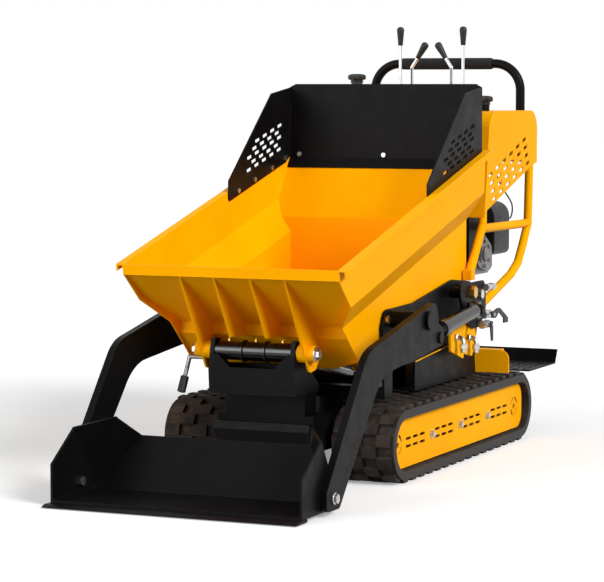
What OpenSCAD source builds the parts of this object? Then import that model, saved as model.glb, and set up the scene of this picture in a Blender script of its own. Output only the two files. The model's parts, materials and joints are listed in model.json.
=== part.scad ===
// Tracked power carrier: crawler dumper with a tipping skip and a self-loading shovel.
// Front of the machine is -Y, +Z is up. Sizes in millimetres.
// Lengths along Y are measured from the middle of the tracks until placed() moves them.

/* [Tracks] */
// Distance from the middle of the machine to a track's outer face
track_outer = 340; // [320:1:360]
// Width of one rubber track
track_w = 180; // [150:1:190]
// Distance between the sprocket and idler axles
wheel_base = 940; // [860:1:980]
// Radius of the track over its lugs at the wheels
track_r = 104; // [98:1:110]
// Height of a tread lug
lug_h = 11; // [8:1:18]
// Thickness of the belt under the lugs
belt_t = 21; // [16:1:24]
// Aimed distance from lug to lug
lug_pitch = 62; // [50:1:80]
// Distance of the cover's face inside the track's outer face
cover_inset = 18; // [12:1:30]
// Radius of the wheel axles
axle_r = 18; // [12:1:22]

/* [Skip] */
// Half width between the outer faces of the skip's upper walls
skip_half_w = 310; // [300:1:316]
// Half width of the skip's lower walls
skip_low_half_w = 251; // [235:1:252]
// Half width of the skip's flat floor
skip_floor_half_w = 165; // [140:1:180]
// Thickness of the skip's sheet
skip_t = 4; // [3:0.5:5]
// Angle at which the skip's rim rises to the rear
skip_tilt = 14.5; // [13:0.1:15]
// Height of the skip's front lip above the ground
lip_z = 598; // [590:1:610]
// Width of the rim's outward fold
rim_w = 19; // [12:1:24]
// Depth of the rim's downward fold
rim_drop = 18; // [10:1:24]
// Distance of the ribs with hinge ears from the middle
ear_x = 150; // [146:1:170]
// Distance of the plain ribs from the middle
rib_x = 52; // [45:1:70]
// Thickness of the ribs
rib_t = 6; // [4:0.5:8]
// Radius of the skip's hinge pin
hinge_pin_r = 15; // [12:0.5:18]
// Radius of the fixed hinge tube
hinge_tube_r = 25; // [23:0.5:28]
// Top of the skip extension above the ground
ext_top_z = 1061; // [1000:1:1080]
// Thickness of the extension's sheet
ext_t = 4; // [3:0.5:5]

/* [Loader] */
// Half width over the shovel's side plates
shovel_half_w = 350; // [346:1:356]
// Thickness of the shovel's plates
shovel_t = 6; // [4:0.5:8]
// Thickness of the loader arms
arm_t = 20; // [12:1:24]
// Radius of the arm pivot shafts
arm_pivot_r = 18; // [14:0.5:20]
// Outer radius of the loader cylinders' barrels
barrel_r = 24; // [20:0.5:24]
// Radius of the loader cylinders' rods
rod_r = 12; // [9:0.5:14]
// Depth of the cutting edge plate
edge_d = 68; // [50:1:80]

/* [Console] */
// Half width over the console's side panels
console_half_w = 285; // [275:1:300]
// Height of the console's top above the ground
console_top_z = 990; // [970:1:1010]
// Thickness of the console's sheet
console_t = 4; // [3:0.5:5]
// Radius of the frame tubes
frame_tube_r = 13; // [10:0.5:15]
// Height of the handlebar's top tube
bar_z = 1134; // [1110:1:1160]
// Half width between the handlebar's uprights
bar_half_w = 242; // [220:1:250]
// Radius of the handlebar tube
bar_r = 14; // [12:0.5:16]
// Radius of the foam grip
grip_r = 18; // [16:0.5:22]
// Radius of the lever stems
lever_r = 5; // [4:0.5:6]
// Half width of the rear step
step_half_w = 310; // [280:1:330]
// Length of the rear step
step_l = 300; // [260:1:330]

/* [Fits] */
// Radial clearance of a turning fit
run_gap = 0.05; // [0.02:0.01:0.1]
// Space between pieces that pass each other
side_gap = 0.5; // [0.3:0.1:1]

/* [Hidden] */
$fn = 48;

yellow = "#F9AE05";
black = "#1E1C1F";
steel = "#B9BBBE";
brass = "#B98F45";
tread = "#2E2926";
grey = "#77777A";

// Driving positions along Y and Z
half_base = wheel_base / 2;
axle_z = track_r;
belt_r = track_r - lug_h;
belt_in_r = belt_r - belt_t;
track_in = track_outer - track_w;
track_mid = track_outer - track_w / 2;
lip_y = -865;
skip_rear_y = 225;
hinge_y = -695;
hinge_z = 364;
arm_pivot_y = -390;
arm_pivot_z = 434;
rod_pin_y = -300;
rod_pin_z = 380;
anchor_y = 90;
anchor_z = 424;
lever_y = 591;
lever_z = 940;
step_y = 607;
step_z = 195;
edge_front_y = -1228;
rear_y = step_y + step_l;
shift_y = -(edge_front_y + rear_y) / 2;

// Moves a piece so that the machine's footprint is centred on the origin
module placed() {
    translate([0, shift_y, 0]) children();
}

// Mirrors a right-hand piece to the left
module on_left() {
    mirror([1, 0, 0]) children();
}

// Draws a piece on both sides
module both_sides() {
    children();
    mirror([1, 0, 0]) children();
}

// Extrudes an outline given in (y, z) from x0 to x1
module side_plate(x0, x1) {
    translate([x0, 0, 0]) rotate([90, 0, 90]) linear_extrude(x1 - x0) children();
}

// Round bar along X from x0 to x1 at (y, z)
module x_rod(x0, x1, y, z, r) {
    translate([x0, y, z]) rotate([0, 90, 0]) cylinder(h = x1 - x0, r = r);
}

// Round bar between two points
module rod(a, b, r) {
    d = b - a;
    translate(a) rotate([0, acos(d.z / norm(d)), atan2(d.y, d.x)]) cylinder(h = norm(d), r = r);
}

// Cone between two points
module taper(a, b, r1, r2) {
    d = b - a;
    translate(a) rotate([0, acos(d.z / norm(d)), atan2(d.y, d.x)]) cylinder(h = norm(d), r1 = r1, r2 = r2);
}

// Ball corners stand this much proud of the bars that meet in them
ball_over = 0.4;

// Round bar through a list of points with ball corners
module rod_path(points, r) {
    for (i = [0:len(points) - 2]) rod(points[i], points[i + 1], r);
    for (i = [1:len(points) - 2]) translate(points[i]) sphere(r = r + ball_over);
}

// Box from one corner to the opposite one
module block(low, high) {
    translate(low) cube(high - low);
}

// Hexagon head or nut along +X with its seat at x
module x_hex(x, y, z, across, h) {
    translate([x, y, z]) rotate([0, 90, 0]) cylinder(h = h, d = across * 2 / sqrt(3), $fn = 6);
}

// Hexagon head with a washer, pointing up from z
module z_hex(x, y, z, across, h) {
    translate([x, y, z]) cylinder(h = h, d = across * 2 / sqrt(3), $fn = 6);
}

// Flat slab over a planar outline of 3-D points, thickened along an offset
module slab(points, offset) {
    n = len(points);
    top = [for (p = points) p + offset];
    polyhedron(
        concat(points, top),
        concat([[for (i = [0:n - 1]) i]], [[for (i = [n - 1:-1:0]) n + i]],
            [for (i = [0:n - 1]) [i, n + i, n + (i + 1) % n, (i + 1) % n]]));
}

function unit(v) = v / norm(v);

// Arc points that round the corner b between a and c
function corner_arc(a, b, c, r, n = 8) =
    r <= 0 ? [b] :
    let (u = unit(a - b), w = unit(c - b), half = acos(u * w) / 2,
        centre = b + unit(u + w) * r / sin(half),
        first = b + u * r / tan(half) - centre, last = b + w * r / tan(half) - centre,
        start = atan2(first.y, first.x),
        turn = atan2(first.x * last.y - first.y * last.x, first * last))
    [for (i = [0:n]) centre + r * [cos(start + turn * i / n), sin(start + turn * i / n)]];

// Outline with rounded corners from points [y, z, radius]
function rounded(p) = [
    for (i = [0:len(p) - 1])
        let (a = p[(i + len(p) - 1) % len(p)], b = p[i], c = p[(i + 1) % len(p)])
        each corner_arc([a.x, a.y], [b.x, b.y], [c.x, c.y], b.z)
];

function left_normal(a, b) = [-(b - a).y, (b - a).x] / norm(b - a);

// Point i of an open path moved to its left by t, mitred at the bends
function moved_point(p, i, t) =
    let (n0 = i > 0 ? left_normal(p[i - 1], p[i]) : left_normal(p[0], p[1]),
        n1 = i < len(p) - 1 ? left_normal(p[i], p[i + 1]) : n0)
    p[i] + t * (n0 + n1) / (1 + n0 * n1);

// Bent sheet of thickness t on the left of an open path
function bent_sheet(p, t) =
    concat(p, [for (i = [len(p) - 1:-1:0]) moved_point(p, i, t)]);

// Point on the track's loop: s runs along the bottom, up the rear, forward and down the front
belt_mean_r = track_r - lug_h / 2;
belt_length = 2 * wheel_base + 2 * PI * belt_mean_r;
lug_count = round(belt_length / lug_pitch);
function belt_point(s, r) =
    let (arc = PI * belt_mean_r, q = s - belt_length * floor(s / belt_length))
    q < wheel_base ? [q - half_base, axle_z - r] :
    q < wheel_base + arc ?
        let (a = -90 + 180 * (q - wheel_base) / arc) [half_base + r * cos(a), axle_z + r * sin(a)] :
    q < 2 * wheel_base + arc ? [half_base - (q - wheel_base - arc), axle_z + r] :
        let (a = 90 + 180 * (q - 2 * wheel_base - arc) / arc) [-half_base + r * cos(a),
            axle_z + r * sin(a)];

// Loop outline with tread lugs, moved along the loop by a share of one pitch
function lug_outline(share) =
    let (step = belt_length / lug_count)
    [for (k = [0:lug_count - 1]) let (s = (k + share) * step) each [
        belt_point(s, belt_r), belt_point(s + 0.2 * step, belt_r), belt_point(s + 0.4 * step, belt_r),
        belt_point(s + 0.46 * step, track_r), belt_point(s + 0.7 * step, track_r),
        belt_point(s + 0.94 * step, track_r)]];

module loop_2d(r) {
    translate([-half_base, axle_z - r]) square([wheel_base, 2 * r]);
    for (y = [-half_base, half_base]) translate([y, axle_z]) circle(r = r, $fn = 96);
}

// Rubber track of four lug columns, each staggered by half a pitch, between two smooth rims
belt_rim = 7;
rim_up = 1.3;

module track() {
    column = (track_w - 2 * belt_rim) / 4;
    first = track_in + belt_rim;
    for (i = [0:3])
        side_plate(first + i * column, first + (i + 1) * column) difference() {
            polygon(lug_outline(i % 2 == 0 ? 0 : 0.5));
            loop_2d(belt_in_r);
        }
    for (x = [track_in, track_outer - belt_rim])
        side_plate(x, x + belt_rim) difference() {
            loop_2d(belt_r + rim_up);
            loop_2d(belt_in_r);
        }
}

// Track cover plate with rounded ends, ring slots and rows of dashes
cover_half_l = half_base + 52;
cover_half_h = belt_in_r - 6;
cover_x = track_outer - cover_inset;
cover_t = 4;
cover_bolt_y = [-236, -12, 214];
cover_bolt_r = 5;
dash_l = 40;
dash_h = 8;
dash_row = 10.5;
dash_step = 52;
dash_group_y = [-358, -138, 86, 319];
ring_y = [-half_base - 19, half_base - 18];
ring_r = 30;
ring_slot = 8;

module ring_slots_2d() {
    for (k = [0:3]) rotate(45 + 90 * k) difference() {
        circle(r = ring_r);
        circle(r = ring_r - ring_slot);
        for (turn = [-32, 212]) rotate(turn) translate([-2 * ring_r, -2 * ring_r])
            square([4 * ring_r, 2 * ring_r]);
    }
    circle(r = 9);
}

module track_cover() {
    side_plate(cover_x - cover_t, cover_x) difference() {
        polygon(rounded([[-cover_half_l, axle_z - cover_half_h, 45],
            [cover_half_l, axle_z - cover_half_h, 45],
            [cover_half_l, axle_z + cover_half_h, 45], [-cover_half_l, axle_z + cover_half_h, 45]]));
        for (y = cover_bolt_y) translate([y, axle_z]) circle(r = cover_bolt_r + run_gap);
        for (y = ring_y) translate([y, axle_z]) ring_slots_2d();
        for (group = dash_group_y, k = [-1:1], row = [-dash_row, dash_row])
            translate([group + k * dash_step - dash_l / 2, axle_z + row - dash_h / 2])
                square([dash_l, dash_h]);
    }
}

// Cover bolts with washers, screwed into the track frames' standoffs
module cover_bolts() {
    color(steel) both_sides() for (y = cover_bolt_y) {
        x_rod(cover_x, cover_x + 2, y, axle_z, 12);
        x_hex(cover_x + 2, y, axle_z, 16, 7);
        x_rod(cover_x - 30, cover_x, y, axle_z, cover_bolt_r);
    }
}

// Wheels: sprocket at the rear, idler at the front, two rollers on the lower run
wheel_in = track_in + 26;
wheel_out = cover_x - cover_t - 8;
wheel_r = belt_in_r - side_gap;
roller_r = 34;
roller_y = 160;
roller_z = axle_z - belt_in_r + roller_r + side_gap;
sprocket_teeth = 11;

module bored(y, z) {
    difference() {
        children();
        x_rod(wheel_in - 1, wheel_out + 1, y, z, axle_r + run_gap);
    }
}

module sprocket() {
    color(grey) bored(half_base, axle_z) {
        x_rod(wheel_in, wheel_out, half_base, axle_z, 42);
        for (x = [wheel_in + 20, wheel_out - 32]) side_plate(x, x + 12) translate([half_base, axle_z])
            difference() {
            circle(r = wheel_r);
            for (k = [0:sprocket_teeth - 1]) rotate(360 * k / sprocket_teeth)
                translate([wheel_r + 2, 0]) circle(r = 9);
        }
    }
}

module idler() {
    color(grey) bored(-half_base, axle_z) {
        x_rod(wheel_in, wheel_out, -half_base, axle_z, 36);
        for (x = [wheel_in + 14, wheel_out - 44]) x_rod(x, x + 30, -half_base, axle_z, wheel_r);
    }
}

module roller(y) {
    color(grey) bored(y, roller_z) {
        x_rod(wheel_in + 4, wheel_out - 4, y, roller_z, 26);
        for (x = [wheel_in + 4, wheel_out - 34]) x_rod(x, x + 30, y, roller_z, roller_r);
    }
}

// Chassis: two rails, deck, cross tubes, track frames with axles, nose and engine bed
rail_in = 90;
rail_out = 140;
rail_low = 90;
deck_z = 190;
deck_t = 8;
nose_y = -640;
tail_y = 590;
frame_plate_t = 12;
bed_z = 486;
post_x = 70;

module track_frame_side() {
    x0 = track_in - frame_plate_t - 6;
    side_plate(x0, x0 + frame_plate_t) polygon(rounded([[-half_base - 40, 60, 30], [half_base + 40, 60, 30],
        [half_base + 40, 148, 30], [-half_base - 40, 148, 30]]));
    for (y = [-half_base, half_base]) {
        x_rod(x0 + frame_plate_t, wheel_in - side_gap, y, axle_z, axle_r + 12);
        x_rod(wheel_in - side_gap, wheel_out + 3, y, axle_z, axle_r);
    }
    for (y = [-roller_y, roller_y]) {
        x_rod(x0 + frame_plate_t, wheel_in + 3, y, roller_z, axle_r + 4);
        x_rod(wheel_in + 3, wheel_out + 3, y, roller_z, axle_r);
    }
    for (y = cover_bolt_y) difference() {
        x_rod(x0 + frame_plate_t, cover_x - cover_t, y, axle_z, 14);
        x_rod(cover_x - cover_t - 31, cover_x, y, axle_z, cover_bolt_r + run_gap);
    }
}

module chassis_frame() {
    color(black) difference() {
        union() {
            both_sides() {
                block([rail_in, nose_y + 60, rail_low], [rail_out, tail_y, deck_z]);
                track_frame_side();
                for (y = [-300, 300]) x_rod(rail_out - 5, track_in - 10, y, 118, 26);
                block([post_x - 15, 440, deck_z], [post_x + 15, 470, bed_z]);
                block([post_x - 15, 560, deck_z], [post_x + 15, 590, bed_z]);
                block([rail_in, tail_y - 30, deck_z - 20], [rail_out, step_y - 16, deck_z + 20]);
                difference() {
                    side_plate(rail_in + 20, rail_in + 32) polygon(rounded([[tail_y - 20, step_z - 24, 4],
                        [step_y + 16, step_z - 24, 14], [step_y + 16, step_z + 8, 14],
                            [tail_y - 20, step_z + 8, 4]]));
                    x_rod(rail_in, rail_out, step_y, step_z - 8, 8 + run_gap);
                }
            }
            block([-rail_out, nose_y + 60, deck_z - deck_t], [rail_out, tail_y, deck_z]);
            block([-rail_out, nose_y, 100], [rail_out, nose_y + 60, deck_z]);
            slab([[-rail_out, nose_y - 30, 150], [rail_out, nose_y - 30, 150], [rail_out, nose_y + 12, 84],
                [-rail_out, nose_y + 12, 84]], [0, 6, 20]);
            block([-post_x - 30, 410, bed_z], [post_x + 50, 610, bed_z + 8]);
            tip_base();
        }
        x_rod(-tip_ear_x - 13, tip_ear_x + 13, tip_base_y, tip_base_z, tip_pin_r + run_gap);
    }
}

// Tip cylinder under the skip: a base pin on the deck and a rod eye beside the skip's lug
tip_base_y = -60;
tip_base_z = 225;
tip_pin_y = -430;
tip_pin_z = 296;
tip_pin_r = 10;
tip_barrel_r = 28;
tip_ear_x = tip_barrel_r + 2;
tip_rod_r = 12;
tip_eye_r = 16;
tip_length = norm([tip_pin_y - tip_base_y, tip_pin_z - tip_base_z]);
tip_angle = atan2(tip_pin_z - tip_base_z, tip_base_y - tip_pin_y);
tip_barrel_l = 300;

// Two deck ears with the base pin's bore
module tip_base() {
    both_sides() side_plate(tip_ear_x, tip_ear_x + 12) polygon(rounded([[tip_base_y - 40, deck_z - 1, 0],
        [tip_base_y + 40, deck_z - 1, 0], [tip_base_y + 20, tip_base_z + 20, 18],
            [tip_base_y - 20, tip_base_z + 20, 18]]));
}

// Places a cylinder drawn along +X so that it points forward and up from its base pin
module along_tip() {
    translate([0, tip_base_y, tip_base_z]) rotate([-tip_angle, 0, 0]) rotate([0, 0, -90]) children();
}

module tip_barrel() {
    color(black) along_tip() {
        difference() {
            union() {
                rotate([90, 0, 0]) translate([0, 0, 1 - tip_ear_x]) cylinder(h = 2 * tip_ear_x - 2, r = 24);
                translate([20, 0, 0]) rotate([0, 90, 0]) cylinder(h = tip_barrel_l - 20, r = tip_barrel_r);
            }
            translate([40, 0, 0]) rotate([0, 90, 0]) cylinder(h = tip_barrel_l, r = tip_rod_r + run_gap);
        }
        rotate([90, 0, 0]) translate([0, 0, -tip_ear_x - 12]) cylinder(h = 2 * tip_ear_x + 24,
            r = tip_pin_r);
    }
}

module tip_rod() {
    color(steel) along_tip() {
        translate([60, 0, 0]) rotate([0, 90, 0]) cylinder(h = tip_length - 70, r = tip_rod_r);
        difference() {
            translate([tip_length, 0, 0]) rotate([90, 0, 0]) translate([0, 0, -12])
                cylinder(h = 24, r = tip_eye_r);
            translate([tip_length, 0, 0]) rotate([90, 0, 0]) translate([0, 0, -13])
                cylinder(h = 26, r = tip_pin_r);
        }
    }
}

// Front tower: notched plate, cheeks that hold the hinge tube, web down to the deck
tower_half_w = 123;
tower_plate_t = 6;
tower_y = hinge_y - hinge_tube_r - side_gap - tower_plate_t;
tower_low = 265;
tower_top = 357;
notch_z = 322;
tower_back_y = -640;
tower_back_top = 326;
cheek_t = 12;

module front_tower() {
    color(black) difference() {
        union() {
            translate([0, tower_y + tower_plate_t, 0]) rotate([90, 0, 0]) linear_extrude(tower_plate_t)
                polygon([
                [-tower_half_w, tower_low], [tower_half_w, tower_low], [tower_half_w, tower_top],
                [tower_half_w - 24, tower_top], [tower_half_w - 58, notch_z], [58 - tower_half_w, notch_z],
                [24 - tower_half_w, tower_top], [-tower_half_w, tower_top]]);
            both_sides() side_plate(tower_half_w - cheek_t, tower_half_w) polygon([[tower_y + 1, tower_low],
                [tower_y + 1, tower_top], [hinge_y - 20, hinge_z + 34], [hinge_y + 12, hinge_z + 30],
                [hinge_y + 32, hinge_z - 12], [-560, tower_low]]);
            block([-tower_half_w, tower_y + 1, tower_low - 14], [tower_half_w, -560, tower_low]);
            block([-tower_half_w + 8, nose_y + 2, deck_z], [tower_half_w - 8, -560, tower_low - 10]);
            block([1 - tower_half_w, tower_back_y, tower_low - 1],
                [tower_half_w - 1, tower_back_y + tower_plate_t, tower_back_top]);
        }
        x_rod(-tower_half_w - 1, tower_half_w + 1, hinge_y, hinge_z, hinge_tube_r + run_gap);
        x_rod(-tower_half_w - 1, -tower_half_w + cheek_t + 1, lock_y, lock_z, lock_r + run_gap);
    }
}

// Hinge tube in three stretches with divider rings
module hinge_tube() {
    color(black) difference() {
        union() {
            x_rod(-tower_half_w - 2, tower_half_w + 2, hinge_y, hinge_z, hinge_tube_r);
            for (x = [-35, 31]) x_rod(x, x + 4, hinge_y, hinge_z, hinge_tube_r + 5);
        }
        x_rod(-tower_half_w - 3, tower_half_w + 3, hinge_y, hinge_z, hinge_pin_r + run_gap);
        for (x = nipple_x) translate([x, hinge_y, hinge_z]) cylinder(h = 2 * hinge_tube_r, r = nipple_r);
    }
}

nipple_x = [-78, 0, 78];
nipple_r = 3;

// Subframe: side plates beside the skip, cross members, arm pivot shafts and cylinder anchors
sub_x = 256;
plate_low_z = 2 * track_r + 10;
guard_y = -216;
guard_z = 300;
sub_t = 8;
anchor_t = 8;
anchor_pin_r = 12;
cyl_x = shovel_half_w - 19;
anchor_x = cyl_x - 31;
eye_half = 12;
pad_z = 462;

module subframe() {
    color(black) {
        both_sides() {
            side_plate(sub_x, sub_x + sub_t)
                polygon(rounded([[-440, plate_low_z, 0], [-385, plate_low_z, 0], [-385, guard_z, 20],
                [guard_y, guard_z, 0], [guard_y, plate_low_z, 0], [275, plate_low_z, 5], [260, 334, 20],
                [237, 380, 20], [237, 495, 20], [79, 510, 30], [-228, 466, 60], [-380, 463, 30], [-432, 463, 30],
                [-456, 420, 30]]));
            x_rod(sub_x + sub_t, shovel_half_w - 4, arm_pivot_y, arm_pivot_z, arm_pivot_r + 6);
            x_rod(shovel_half_w - 4, shovel_half_w + arm_t + 3, arm_pivot_y, arm_pivot_z, arm_pivot_r);
            x_rod(shovel_half_w + arm_t + 3, shovel_half_w + arm_t + 10, arm_pivot_y, arm_pivot_z,
                arm_pivot_r + 9);
            for (y = [60, 190]) x_rod(sub_x + sub_t, anchor_x, y, 475, 16);
            side_plate(anchor_x, anchor_x + anchor_t) polygon(rounded([[anchor_y - 26, anchor_z - 34, 18],
                [anchor_y + 40, anchor_z - 58, 12], [anchor_y + 100, anchor_z - 58, 12], [240, 410, 16],
                [240, 470, 20], [225, 500, 16], [25, 500, 16], [30, 460, 16]]));
            x_rod(anchor_x + anchor_t, cyl_x + eye_half + 12, anchor_y, anchor_z, anchor_pin_r);
            x_rod(cyl_x + eye_half + side_gap, cyl_x + eye_half + 8, anchor_y, anchor_z, anchor_pin_r + 5);
            block([100, -430, deck_z], [140, -390, 230]);
            block([100, 25, deck_z], [140, 95, 340]);
            block([100, 40, 405], [140, 70, pad_z]);
        }
        block([-sub_x - 1, -430, 218], [sub_x + 1, -390, 252]);
        block([-sub_x - 1, 20, 330], [sub_x + 1, 100, 410]);
    }
}

// Loader cylinders: eyes on the anchor pins, rods whose eyes sit beside the arms' stub pins
cyl_length = norm([rod_pin_y - anchor_y, rod_pin_z - anchor_z]);
cyl_angle = atan2(anchor_z - rod_pin_z, anchor_y - rod_pin_y);
cyl_barrel_l = 285;
rod_pin_r = 11;

module along_cyl() {
    translate([cyl_x, anchor_y, anchor_z]) rotate([cyl_angle, 0, 0]) rotate([0, 0, -90]) children();
}

module loader_barrel() {
    color(black) along_cyl() difference() {
        union() {
            rotate([90, 0, 0]) translate([0, 0, -eye_half]) cylinder(h = 2 * eye_half, r = 25);
            translate([18, 0, 0]) rotate([0, 90, 0]) cylinder(h = cyl_barrel_l - 18, r = barrel_r - 3);
            translate([cyl_barrel_l - 34, 0, 0]) rotate([0, 90, 0]) cylinder(h = 34, r = barrel_r);
            translate([46, 0, barrel_r - 8]) cylinder(h = 14, r = 8);
        }
        rotate([90, 0, 0]) translate([0, 0, -eye_half - 1]) cylinder(h = 2 * eye_half + 2,
            r = anchor_pin_r + run_gap);
        translate([40, 0, 0]) rotate([0, 90, 0]) cylinder(h = cyl_barrel_l, r = rod_r + run_gap);
    }
}

module loader_rod() {
    color(steel) along_cyl() {
        translate([60, 0, 0]) rotate([0, 90, 0]) cylinder(h = cyl_length - 70, r = rod_r);
        difference() {
            union() {
                translate([cyl_length, 0, 0]) rotate([90, 0, 0]) translate([0, 0, -eye_half])
                    cylinder(h = 2 * eye_half, r = 22);
                translate([cyl_length - 46, 0, 0]) rotate([0, 90, 0]) cylinder(h = 30, r = eye_half + 1);
            }
            translate([cyl_length, 0, 0]) rotate([90, 0, 0]) translate([0, 0, -eye_half - 1])
                cylinder(h = 2 * eye_half + 2, r = rod_pin_r);
        }
    }
}

// Loader arm: cranked plate with the pivot bore, a stub for the rod and the shovel bolt's hole
arm_outline = [[-1081, 14, 14], [-1000, 14, 14], [-723, 318, 170], [-345, 352, 20], [-268, 360, 26],
    [-272, 404, 20],
    [-312, 420, 20], [-318, 484, 34], [-814, 388, 125], [-1081, 63, 14]];
shovel_bolt_y = -1035;
shovel_bolt_z = 44;
shovel_bolt_r = 8;

module loader_arm() {
    color(black) difference() {
        union() {
            side_plate(shovel_half_w, shovel_half_w + arm_t) polygon(rounded(arm_outline));
            x_rod(cyl_x + eye_half + 2, shovel_half_w + arm_t + 6, rod_pin_y, rod_pin_z, rod_pin_r + 5);
        }
        x_rod(shovel_half_w - 1, shovel_half_w + arm_t + 1, arm_pivot_y, arm_pivot_z,
            arm_pivot_r + run_gap);
        x_rod(shovel_half_w - 1, shovel_half_w + arm_t + 1, shovel_bolt_y, shovel_bolt_z,
            shovel_bolt_r + run_gap);
    }
}

// Shovel pan: floor, side plates, leaning back wall and slanted back corners
floor_low = 10;
side_front_y = edge_front_y + 42;
crease_y = -955;
side_top_y = -1066;
side_top_z = 189;
facet_x = 280;
facet_y = -962;
facet_z = 208;
wall_x = 243;
wall_y = -878;
wall_z = 148;

module shovel_pan() {
    w = shovel_half_w;
    color(black) {
        difference() {
            union() {
                block([-w, side_front_y, floor_low], [w, crease_y + shovel_t, floor_low + shovel_t]);
                both_sides() {
                    side_plate(w - shovel_t, w) polygon([[side_front_y, floor_low], [side_front_y, 108],
                        [side_top_y, side_top_z], [crease_y, floor_low]]);
                    slab([[w, crease_y, floor_low], [w, side_top_y, side_top_z],
                        [facet_x, facet_y, facet_z]], [-shovel_t, -2, -1]);
                    slab([[w, crease_y, floor_low], [facet_x, facet_y, facet_z],
                        [wall_x, wall_y, wall_z]], [-3, -shovel_t, -1]);
                }
                slab([[-w, crease_y, floor_low], [w, crease_y, floor_low], [wall_x, wall_y, wall_z],
                    [-wall_x, wall_y, wall_z]], [0, -shovel_t, 3]);
            }
            both_sides() x_rod(w - shovel_t - 1, w + 1, shovel_bolt_y, shovel_bolt_z,
                shovel_bolt_r + run_gap);
        }
    }
}

// Cutting edge: bevelled plate welded under the pan's front
edge_low = 2;
edge_over = 3;

module cutting_edge() {
    color(black) side_plate(-shovel_half_w - edge_over, shovel_half_w + edge_over)
        polygon([[edge_front_y, edge_low],
        [edge_front_y + edge_d, edge_low], [edge_front_y + edge_d, floor_low],
            [edge_front_y + 14, floor_low],
        [edge_front_y, edge_low + 3]]);
}

module shovel_bolts() {
    w = shovel_half_w;
    color(steel) {
        both_sides() {
            x_rod(w - shovel_t, w + arm_t, shovel_bolt_y, shovel_bolt_z, shovel_bolt_r);
            x_rod(w + arm_t, w + arm_t + 3, shovel_bolt_y, shovel_bolt_z, 15);
            x_hex(w + arm_t + 3, shovel_bolt_y, shovel_bolt_z, 22, 8);
            x_hex(w - shovel_t - 9, shovel_bolt_y, shovel_bolt_z, 22, 9);
        }
    }
}

// Skip: a channel that rises to the rear, closed by a bent front sheet and a bent rear sheet
chamfer_top_n = -120;
chamfer_low_n = -198;
wall_low_n = -322;
floor_n = -357;
lip_h = 28;
wall_top = [lip_y + 15, lip_z - lip_h - 2];
band_top = [-655, 432];
band_low = [-655, 402];
nose_low = [-551, 310];
rear_low_y = 84;
rear_bend_low = [83, 680];
rear_bend_top = [211, 850];
skip_run = 1400;

// Height of the outside of the floor at y
function floor_z(y) = lip_z + (floor_n + (y - lip_y) * sin(skip_tilt)) / cos(skip_tilt);
// Height of the rim at y
function rim_z(y) = lip_z + (y - lip_y) * tan(skip_tilt);

// Half of the channel's section in (x, depth below the rim), from the rim down
function half_section(side) = [
    [side * (skip_half_w + rim_w - skip_t), -rim_drop], [side * (skip_half_w + rim_w - skip_t), -skip_t],
    [side * skip_half_w, -skip_t], [side * (skip_half_w - 4), chamfer_top_n],
    [side * skip_low_half_w, chamfer_low_n], [side * skip_low_half_w, wall_low_n],
    [side * skip_floor_half_w, floor_n]];

channel_path = concat(half_section(-1), [for (i = [6:-1:0]) half_section(1)[i]]);
channel_envelope = [for (i = [2:11]) channel_path[i]];

// Extrudes a section in (x, depth) along the tilted length of the skip
module along_skip() {
    translate([0, lip_y, lip_z]) rotate([skip_tilt, 0, 0]) translate([0, skip_run, 0]) rotate([90, 0, 0])
        linear_extrude(skip_run + 200) children();
}

front_path = [[lip_y, lip_z], [lip_y + 3, lip_z - lip_h], wall_top, band_top, band_low, nose_low];
rear_path = [[rear_low_y, floor_z(rear_low_y)], rear_bend_low, rear_bend_top,
    [rear_bend_top.x, rim_z(rear_bend_top.x) - skip_t]];
side_outline = [[lip_y, lip_z], [lip_y + 4, lip_z - lip_h], [-586, 332], nose_low,
    [rear_low_y, floor_z(rear_low_y)],
    [skip_rear_y, floor_z(rear_low_y) + 20], [skip_rear_y, rim_z(skip_rear_y)]];

// Gussets that carry the sides down behind the rear wall, lapped over the sides' lower fold
gusset_z = 488;
gusset_lap = 8;
gusset_in = 0.3;
function side_fold_z(y) = rim_z(y) + wall_low_n / cos(skip_tilt);
gusset_y = lip_y + (gusset_z - lip_z - wall_low_n / cos(skip_tilt)) / tan(skip_tilt);

module skip_tub() {
    color(yellow) {
        intersection() {
            along_skip() polygon(bent_sheet(channel_path, skip_t));
            side_plate(-500, 500) polygon(side_outline);
            union() {
                block([-500, lip_y - 50, 0], [500, rear_low_y, 1200]);
                block([-500, rear_low_y - 1, 0], [-skip_low_half_w + skip_t, skip_rear_y + 50, 1200]);
                block([skip_low_half_w - skip_t, rear_low_y - 1, 0], [500, skip_rear_y + 50, 1200]);
            }
        }
        intersection() {
            side_plate(-500, 500) union() {
                polygon(bent_sheet(front_path, skip_t));
                polygon(bent_sheet(rear_path, skip_t));
            }
            along_skip() polygon(concat(channel_envelope, [[skip_half_w, 100], [-skip_half_w, 100]]));
        }
        both_sides() side_plate(skip_low_half_w - skip_t + gusset_in, skip_low_half_w - gusset_in)
            polygon([[gusset_y, gusset_z], [skip_rear_y, gusset_z],
                [skip_rear_y, side_fold_z(skip_rear_y) + gusset_lap], [gusset_y, gusset_z + gusset_lap]]);
    }
}

// Ribs under the lip: the outer pair runs down into hinge ears, with the tip cylinder's lug
ear_tip = [[-690, 312, 14], [-650, 318, 14]];
ear_back = [-612, band_low.y + (band_low.x + 612) * (band_low.y - nose_low.y) / (nose_low.x - band_low.x)];
boss_r = 24;
boss_out = 19;
lug_x = 13;
lug_t = 11;

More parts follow.
